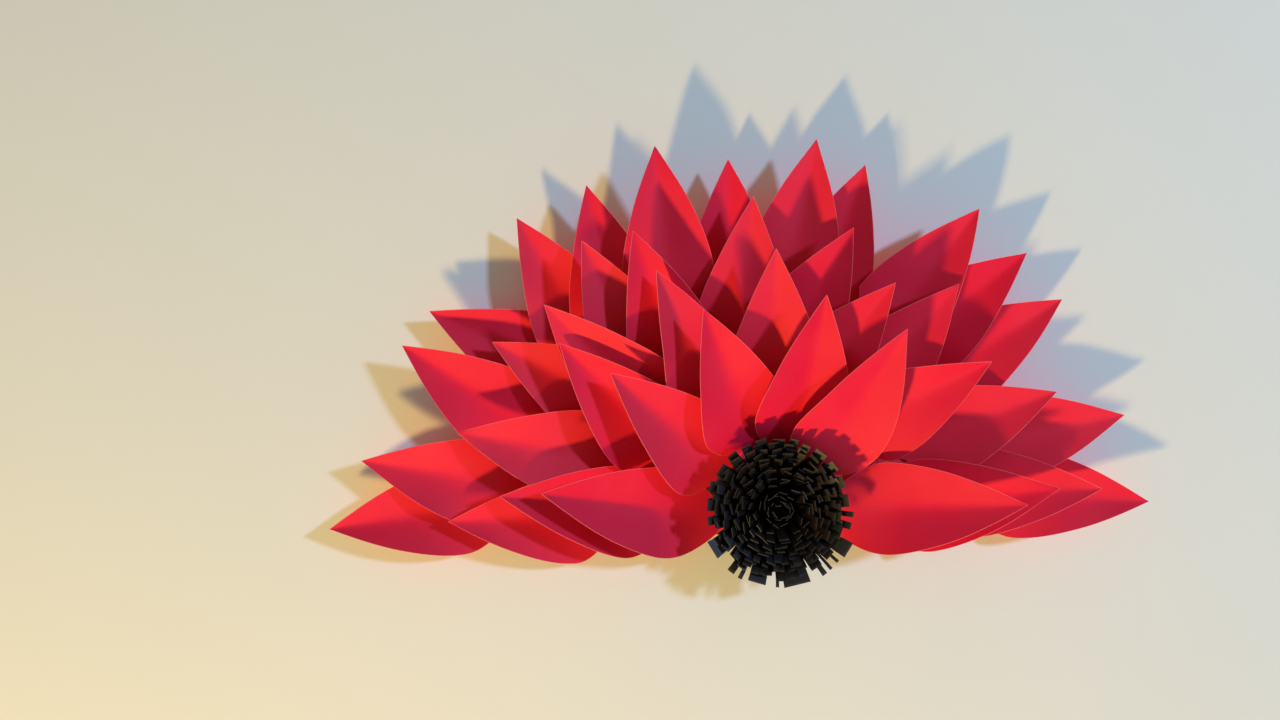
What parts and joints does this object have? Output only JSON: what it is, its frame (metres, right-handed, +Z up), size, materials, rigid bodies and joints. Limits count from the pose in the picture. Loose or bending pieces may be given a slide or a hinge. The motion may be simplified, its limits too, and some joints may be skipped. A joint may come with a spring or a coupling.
{
  "type": "giant paper flower",
  "caption": "Half paper bloom for a wall: rows of pointed, valley-folded card petals fan out around a fringed paper roll on a flat backing card.",
  "frame": {"origin": "centre of the fringed roll, on the flat back face of the backing that lies against the wall", "axes": "+X to the right of the bloom as seen from the front, +Y into the wall, +Z up; the flower faces -Y"},
  "size_m": [0.6127, 0.0792, 0.3286],
  "materials": {
    "brown_card": "matte brown corrugated card",
    "black_paper": "smooth black card with a slight sheen",
    "red_card": "matte red craft card with paler cut edges"
  },
  "bodies": {
    "root": {"backing_card": "brown_card", "fringe_roll": "black_paper", "outer_petal_01": "red_card", "outer_petal_02": "red_card", "outer_petal_03": "red_card", "outer_petal_04": "red_card", "outer_petal_05": "red_card", "outer_petal_06": "red_card", "outer_petal_07": "red_card", "outer_petal_08": "red_card", "outer_petal_09": "red_card", "outer_petal_10": "red_card", "outer_petal_11": "red_card", "outer_petal_12": "red_card", "outer_petal_13": "red_card", "outer_petal_14": "red_card", "outer_petal_15": "red_card", "second_petal_01": "red_card", "second_petal_02": "red_card", "second_petal_03": "red_card", "second_petal_04": "red_card", "second_petal_05": "red_card", "second_petal_06": "red_card", "second_petal_07": "red_card", "second_petal_08": "red_card", "second_petal_09": "red_card", "second_petal_10": "red_card", "third_petal_01": "red_card", "third_petal_02": "red_card", "third_petal_03": "red_card", "third_petal_04": "red_card", "third_petal_05": "red_card", "third_petal_06": "red_card", "third_petal_07": "red_card", "third_petal_08": "red_card", "inner_petal_01": "red_card", "inner_petal_02": "red_card", "inner_petal_03": "red_card", "inner_petal_04": "red_card", "inner_petal_05": "red_card", "inner_petal_06": "red_card"}
  },
  "joints": []
}
